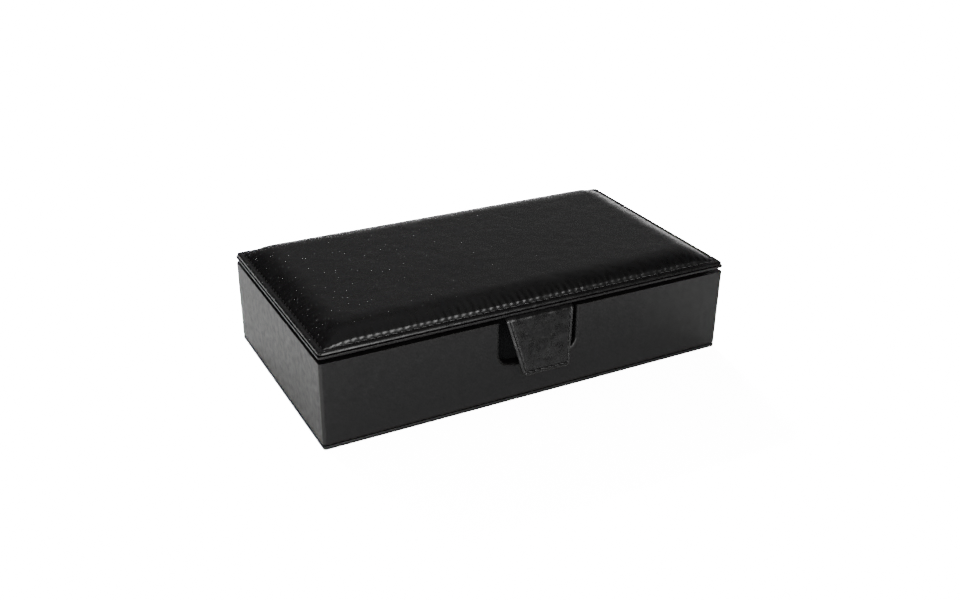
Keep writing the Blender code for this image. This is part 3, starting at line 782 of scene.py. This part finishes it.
# ---------------------------------------------------------------- lining, racks, hinges
def refine(node, name, offset, segments, look, body):
    """A finished copy of a CAD node: its sharp edges rounded, as a new piece."""
    made = bmesh.new()
    made.from_mesh(frame["nodes"][node].data)
    bmesh.ops.remove_doubles(made, verts=made.verts[:], dist=WELD)
    bmesh.ops.dissolve_limit(made, angle_limit=math.radians(0.5), verts=made.verts[:],
                             edges=made.edges[:])
    round_edges(made, lambda edge: True, offset, segments)
    weighted(add_piece(name, to_mesh(name, made), look, body, (node,)))


def make_inside():
    """The suede-covered linings, chip racks and card tray."""
    for side in ("front", "back", "left", "right"):
        refine(side + "_lining", side + "_lining_board", 0.45 * MM, 3, SUEDE, "case")
    refine("floor_lining", "floor_lining_sheet", 0.2 * MM, 2, SUEDE, "case")
    for side in ("left", "right"):
        refine(side + "_chip_rack", side + "_rack", 0.6 * MM, 3, SUEDE, "case")
    refine("card_tray", "card_tray_block", 0.6 * MM, 3, SUEDE, "case")
    refine("lid_lining", "lid_lining_sheet", 0.3 * MM, 3, SUEDE, "lid")


def repaint(node, look):
    """Give a CAD node that stays visible a new material."""
    materials = frame["nodes"][node].data.materials
    materials.clear()
    materials.append(look)


def make_hinges():
    """Brass leaves with softened edges; the pins and screws keep their CAD shapes."""
    for side in ("left", "right"):
        for body, half in (("case", "body"), ("lid", "lid")):
            node = "%s_hinge_%s_leaf" % (side, half)
            refine(node, node + "_plate", 0.12 * MM, 2, BRASS, body)
            for number in (1, 2):
                repaint("%s_hinge_%s_screw_%d" % (side, half, number), STEEL)
        repaint(side + "_hinge_pin", STEEL)


# ---------------------------------------------------------------- studio
# Grey of the room by the height of a direction: 0 is level or below, 1 is straight up.
ROOM_LEVELS = ((0.0, 0.11), (0.35, 0.17), (0.47, 0.27), (0.62, 0.07), (0.8, 0.02), (1.0, 0.01))
ROOM_LEFT_SHARE = 0.15                  # how bright the room's left side is beside its right
BACKDROP_STRENGTH = 14
PAPER_GREY = 0.46                       # the paper as other rays see it
PAPER_WHITE = 6                         # and as the camera sees it
PAPER_GLOW = 9
CAMERA_PLACE = (-0.3307, -0.6250, 0.3805)
CAMERA_AIM = (0.4420, 0.7747, -0.4522)
CAMERA_ROLL = math.radians(-1.49)


def studio_world():
    """A dim room, darker to the left and overhead, so that black leather keeps its contrast.

    The camera sees plain white. Other rays see a grey that depends on their direction.
    """
    world = bpy.data.worlds.new("studio")
    bpy.context.scene.world = world
    world.use_nodes = True
    tree = world.node_tree
    room = tree.nodes["Background"]
    direction = tree.nodes.new("ShaderNodeTexCoord")
    parts = tree.nodes.new("ShaderNodeSeparateXYZ")
    by_height = tree.nodes.new("ShaderNodeValToRGB")
    ramp = by_height.color_ramp
    ramp.interpolation = "B_SPLINE"
    while len(ramp.elements) < len(ROOM_LEVELS):
        ramp.elements.new(0.5)
    for stop, (height, grey) in zip(ramp.elements, ROOM_LEVELS):
        stop.position = height
        stop.color = (grey, grey, grey, 1)
    tree.links.new(direction.outputs["Generated"], parts.inputs["Vector"])
    tree.links.new(parts.outputs["Z"], by_height.inputs["Fac"])
    tree.links.new(by_height.outputs["Color"], room.inputs["Color"])
    side = tree.nodes.new("ShaderNodeMapRange")
    side.interpolation_type = "SMOOTHSTEP"
    side.inputs["From Min"].default_value = -0.2
    side.inputs["From Max"].default_value = 0.25
    side.inputs["To Min"].default_value = ROOM_LEFT_SHARE
    tree.links.new(parts.outputs["X"], side.inputs["Value"])
    tree.links.new(side.outputs["Result"], room.inputs["Strength"])
    seen = tree.nodes.new("ShaderNodeBackground")
    seen.inputs["Color"].default_value = (1, 1, 1, 1)
    seen.inputs["Strength"].default_value = BACKDROP_STRENGTH
    path = tree.nodes.new("ShaderNodeLightPath")
    mix = tree.nodes.new("ShaderNodeMixShader")
    tree.links.new(path.outputs["Is Camera Ray"], mix.inputs["Fac"])
    tree.links.new(room.outputs["Background"], mix.inputs[1])
    tree.links.new(seen.outputs["Background"], mix.inputs[2])
    tree.links.new(mix.outputs["Shader"], tree.nodes["World Output"].inputs["Surface"])


def studio_floor():
    """White paper, overexposed to the camera as in a product picture, plain in reflections."""
    bpy.ops.mesh.primitive_plane_add(size=14, location=(0, 0, BASE_LOW.z - 0.05 * MM))
    floor = bpy.context.object
    floor.name = "studio_floor"
    paper = bpy.data.materials.new("studio_paper")
    paper.use_nodes = True
    tree = paper.node_tree
    tree.nodes.remove(tree.nodes["Principled BSDF"])
    plain = tree.nodes.new("ShaderNodeBsdfDiffuse")
    plain.inputs["Color"].default_value = (PAPER_GREY, PAPER_GREY, PAPER_GREY, 1)
    bright = tree.nodes.new("ShaderNodeBsdfDiffuse")
    bright.inputs["Color"].default_value = (PAPER_WHITE, PAPER_WHITE, PAPER_WHITE, 1)
    glow = tree.nodes.new("ShaderNodeEmission")
    glow.inputs["Strength"].default_value = PAPER_GLOW
    white = tree.nodes.new("ShaderNodeAddShader")
    tree.links.new(bright.outputs["BSDF"], white.inputs[0])
    tree.links.new(glow.outputs["Emission"], white.inputs[1])
    path = tree.nodes.new("ShaderNodeLightPath")
    mix = tree.nodes.new("ShaderNodeMixShader")
    tree.links.new(path.outputs["Is Camera Ray"], mix.inputs["Fac"])
    tree.links.new(plain.outputs["BSDF"], mix.inputs[1])
    tree.links.new(white.outputs["Shader"], mix.inputs[2])
    tree.links.new(mix.outputs["Shader"], tree.nodes["Material Output"].inputs["Surface"])
    floor.data.materials.append(paper)


def softbox(name, location, target, size, power, in_reflections=True):
    """A rectangular area light, aimed at a target, that the camera doesn't see."""
    light = bpy.data.lights.new(name, "AREA")
    light.shape = "RECTANGLE"
    light.size, light.size_y = size
    light.energy = power
    made = bpy.data.objects.new(name, light)
    bpy.context.scene.collection.objects.link(made)
    made.location = location
    made.rotation_euler = (Vector(target) - Vector(location)).to_track_quat("-Z", "Y").to_euler()
    made.visible_glossy = in_reflections
    made.visible_camera = False


def studio_lights():
    """Lamps that light the paper, and softboxes in front and behind that show in the leather."""
    softbox("back_light", (0.0, 1.9, 0.95), (0, 0.1, 0), (1.4, 0.4), 190, in_reflections=False)
    softbox("left_paper_light", (-1.2, -0.9, 0.9), (-0.5, -0.5, 0), (0.5, 0.5), 25,
            in_reflections=False)
    softbox("front_softbox", (-0.03, -1.45, 0.90), (0, -0.08, 0.07), (1.1, 0.75), 22)
    softbox("overhead_softbox", (0.05, 0.1, 1.25), (0.05, 0.1, 0), (1.1, 1.5), 1.3)
    softbox("low_left_softbox", (-0.8, -1.1, 0.14), (0, -0.08, 0.05), (0.7, 0.24), 8)
    softbox("back_right_softbox", (1.75, 2.2, 0.16), (0, 0, 0.07), (2.2, 0.4), 2.8)


def studio_camera():
    """Above and to the left of the front, rolled a little, with a small shift of the frame."""
    camera = bpy.data.cameras.new("camera")
    camera.lens = 41.3
    camera.sensor_width = 36
    camera.shift_x = -0.032
    camera.shift_y = 0.0156
    camera.clip_start = 0.01
    made = bpy.data.objects.new("camera", camera)
    bpy.context.scene.collection.objects.link(made)
    made.location = CAMERA_PLACE
    forward = Vector(CAMERA_AIM).normalized()
    made.rotation_mode = "QUATERNION"
    made.rotation_quaternion = (Matrix.Rotation(CAMERA_ROLL, 3, forward).to_quaternion()
                                @ forward.to_track_quat("-Z", "Y"))
    bpy.context.scene.camera = made


# ---------------------------------------------------------------- assembly
make_walls()
make_base()
make_lid_board()
make_lid_stitches(*make_padded_cover())
make_tab()
make_inside()
make_hinges()
studio_world()
studio_floor()
studio_lights()
studio_camera()
